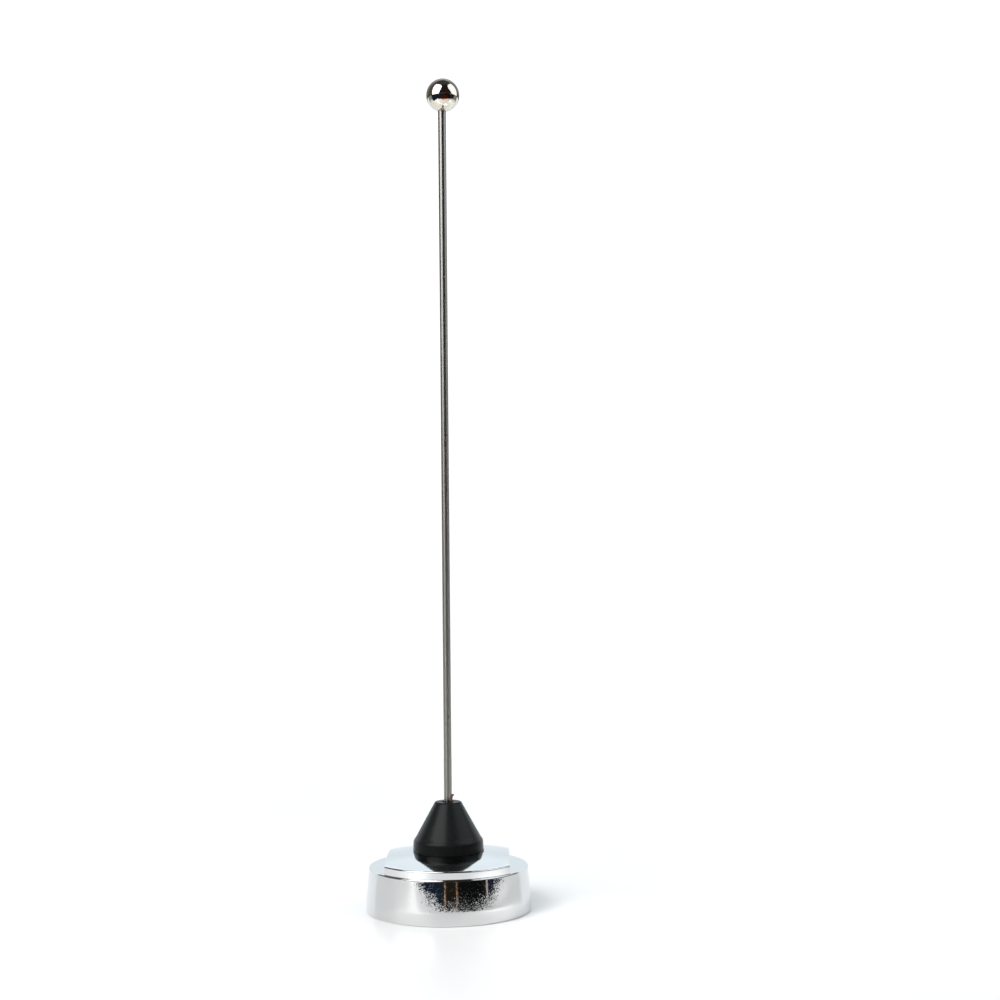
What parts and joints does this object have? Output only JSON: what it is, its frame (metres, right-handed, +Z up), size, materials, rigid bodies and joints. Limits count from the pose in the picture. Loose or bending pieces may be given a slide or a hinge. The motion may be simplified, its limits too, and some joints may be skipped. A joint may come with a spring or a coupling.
{
  "type": "uhf mobile antenna",
  "caption": "Upright vehicle whip antenna: chrome base nut with wrench flats and internal thread, black insulator cone, thin steel rod and ball tip.",
  "frame": {"origin": "on the whip's axis, in the plane of the base's bottom rim", "axes": "+Z up along the whip; the two wrench flats face +X and -X; the picture looks along +Y, so -Y is the front"},
  "size_m": [0.0428, 0.0428, 0.2165],
  "materials": {
    "chrome_plate": "bright chrome plate over a cast zinc body",
    "black_plastic": "satin moulded black plastic",
    "stainless": "drawn stainless steel",
    "polished_steel": "polished stainless steel",
    "brass": "turned brass",
    "black_steel": "black oxide steel",
    "seal_rubber": "soft black rubber",
    "white_plastic": "natural white moulded plastic",
    "plated_steel": "nickel plated steel",
    "spring_steel": "drawn spring wire",
    "gold_plate": "gold plated brass",
    "ring_rubber": "matt black rubber"
  },
  "bodies": {
    "antenna": {"base_housing": "chrome_plate", "insulator_cone": "black_plastic", "whip_rod": "stainless", "ball_tip": "polished_steel", "whip_ferrule": "brass", "clamp_screw": "black_steel", "cone_seal": "seal_rubber", "lower_insulator": "white_plastic", "contact_washer": "plated_steel", "contact_stud": "brass", "contact_spring": "spring_steel", "base_gasket": "ring_rubber"},
    "contact_pin": {"contact_plunger": "gold_plate"}
  },
  "joints": [
    {"name": "contact_press", "type": "slide", "parent": "antenna", "child": "contact_pin", "axis": [0, 0, 1], "range_m": [0, 0.0015], "stiffness_N_per_m": 800, "springref_m": -0.001, "deforming": ["contact_spring"]}
  ]
}
